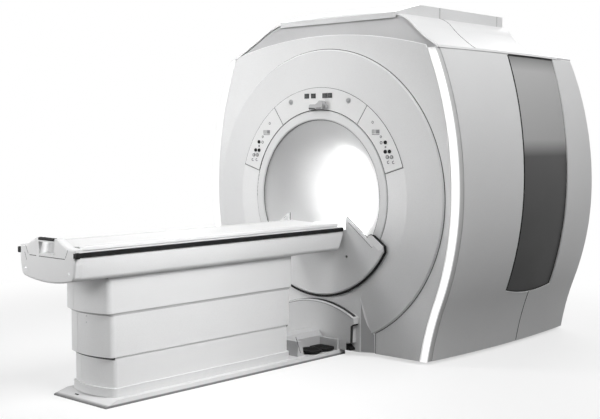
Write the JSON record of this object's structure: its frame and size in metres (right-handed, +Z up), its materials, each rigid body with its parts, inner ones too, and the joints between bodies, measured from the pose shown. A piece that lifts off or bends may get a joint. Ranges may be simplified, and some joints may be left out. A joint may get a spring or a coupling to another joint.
{
  "type": "mri scanner",
  "caption": "Cylindrical-bore MRI scanner: a covered magnet with a flared bore and light strips, and a fixed lift table whose cradle slides into the bore.",
  "frame": {"origin": "on the floor, straight below the isocentre of the magnet", "axes": "+Y along the bore, from the table into the magnet; +X to the right seen from the table; +Z up"},
  "size_m": [2.2966, 4.077, 2.36],
  "materials": {
    "black": "matte black",
    "bore": "bright white",
    "coil": "resin",
    "column": "brushed",
    "cover": "satin light grey moulding",
    "display": "dark display window",
    "frame": "painted",
    "grey": "matte mid grey",
    "inset": "dark grey",
    "key": "matte black",
    "key_grey": "matte grey",
    "lamp": "matte grey",
    "lens": "grey lens",
    "panel": "satin light grey",
    "screw": "brushed",
    "strip": "glossy white",
    "vessel": "brushed"
  },
  "bodies": {
    "gantry": {"alignment_light": "cover", "base_frame": "frame", "body_coil": "coil", "bore_bridge": "cover", "bore_flare_front": "cover", "bore_flare_rear": "cover", "bore_rim": "cover", "bore_tube": "bore", "cold_head": "vessel", "control_panel": "panel", "cover_screws": "screw", "disc_cover": "cover", "display_windows": "display", "dock_apron": "cover", "dock_collar": "cover", "dock_gasket": "black", "front_cover": "cover", "gradient_coil": "coil", "indicator_lenses": "lens", "keypad_lamps": "lamp", "keypad_panel_left": "panel", "keypad_panel_right": "panel", "lift_columns": "column", "light_strip_left": "strip", "light_strip_right": "strip", "lower_shroud": "cover", "magnet_vessel": "vessel", "pedal_housing": "cover", "rear_cover": "cover", "roof_cover": "cover", "roof_fascia": "grey", "service_box": "cover", "side_cover_left": "cover", "side_cover_right": "cover", "side_inset_left": "inset", "side_inset_right": "inset", "table_base": "cover"},
    "middle_stage": {"middle_shroud": "cover"},
    "table": {"upper_shroud": "cover", "lift_rams": "column", "table_tub": "cover", "bumper_left": "black", "bumper_right": "black", "end_cap": "cover", "handle_grip": "black", "table_screws": "screw", "cradle_rollers": "black"},
    "cradle": {"cradle": "cover"},
    "pedal_foot_end": {"pedal_foot_end": "black"},
    "pedal_bore_end": {"pedal_bore_end": "black"},
    "key_stop_left": {"key_stop_left": "key"},
    "key_stop_right": {"key_stop_right": "key"},
    "key_in_left": {"key_in_left": "key"},
    "key_in_right": {"key_in_right": "key"},
    "key_out_left": {"key_out_left": "key"},
    "key_out_right": {"key_out_right": "key"},
    "key_up_left": {"key_up_left": "key_grey"},
    "key_up_right": {"key_up_right": "key_grey"},
    "key_down_left": {"key_down_left": "key_grey"},
    "key_down_right": {"key_down_right": "key_grey"}
  },
  "joints": [
    {"name": "table_lift", "type": "slide", "parent": "gantry", "child": "table", "axis": [0, 0, 1], "range_m": [-0.25, 0]},
    {"name": "middle_stage_slide", "type": "slide", "parent": "gantry", "child": "middle_stage", "axis": [0, 0, 1], "range_m": [-0.125, 0]},
    {"name": "cradle_slide", "type": "slide", "parent": "table", "child": "cradle", "axis": [0, 1, 0], "range_m": [0, 1.9]},
    {"name": "pedal_foot_end_press", "type": "hinge", "parent": "gantry", "child": "pedal_foot_end", "pos_m": [0.084, -1.206, 0.052], "axis": [0, 1, 0], "range_deg": [0, 3.2], "stiffness_Nm_per_rad": 60, "springref_deg": -2.86},
    {"name": "pedal_bore_end_press", "type": "hinge", "parent": "gantry", "child": "pedal_bore_end", "pos_m": [0.084, -1.08, 0.052], "axis": [0, 1, 0], "range_deg": [0, 3.2], "stiffness_Nm_per_rad": 60, "springref_deg": -2.86},
    {"name": "key_stop_left_press", "type": "slide", "parent": "gantry", "child": "key_stop_left", "axis": [0, 1, 0], "range_m": [0, 0.002], "stiffness_N_per_m": 800, "springref_m": -0.001},
    {"name": "key_stop_right_press", "type": "slide", "parent": "gantry", "child": "key_stop_right", "axis": [0, 1, 0], "range_m": [0, 0.002], "stiffness_N_per_m": 800, "springref_m": -0.001},
    {"name": "key_in_left_press", "type": "slide", "parent": "gantry", "child": "key_in_left", "axis": [0, 1, 0], "range_m": [0, 0.002], "stiffness_N_per_m": 800, "springref_m": -0.001},
    {"name": "key_in_right_press", "type": "slide", "parent": "gantry", "child": "key_in_right", "axis": [0, 1, 0], "range_m": [0, 0.002], "stiffness_N_per_m": 800, "springref_m": -0.001},
    {"name": "key_out_left_press", "type": "slide", "parent": "gantry", "child": "key_out_left", "axis": [0, 1, 0], "range_m": [0, 0.002], "stiffness_N_per_m": 800, "springref_m": -0.001},
    {"name": "key_out_right_press", "type": "slide", "parent": "gantry", "child": "key_out_right", "axis": [0, 1, 0], "range_m": [0, 0.002], "stiffness_N_per_m": 800, "springref_m": -0.001},
    {"name": "key_up_left_press", "type": "slide", "parent": "gantry", "child": "key_up_left", "axis": [0, 1, 0], "range_m": [0, 0.002], "stiffness_N_per_m": 800, "springref_m": -0.001},
    {"name": "key_up_right_press", "type": "slide", "parent": "gantry", "child": "key_up_right", "axis": [0, 1, 0], "range_m": [0, 0.002], "stiffness_N_per_m": 800, "springref_m": -0.001},
    {"name": "key_down_left_press", "type": "slide", "parent": "gantry", "child": "key_down_left", "axis": [0, 1, 0], "range_m": [0, 0.002], "stiffness_N_per_m": 800, "springref_m": -0.001},
    {"name": "key_down_right_press", "type": "slide", "parent": "gantry", "child": "key_down_right", "axis": [0, 1, 0], "range_m": [0, 0.002], "stiffness_N_per_m": 800, "springref_m": -0.001}
  ],
  "couplings": [
    {"joint": "middle_stage_slide", "follows": "table_lift", "ratio": 0.5}
  ]
}
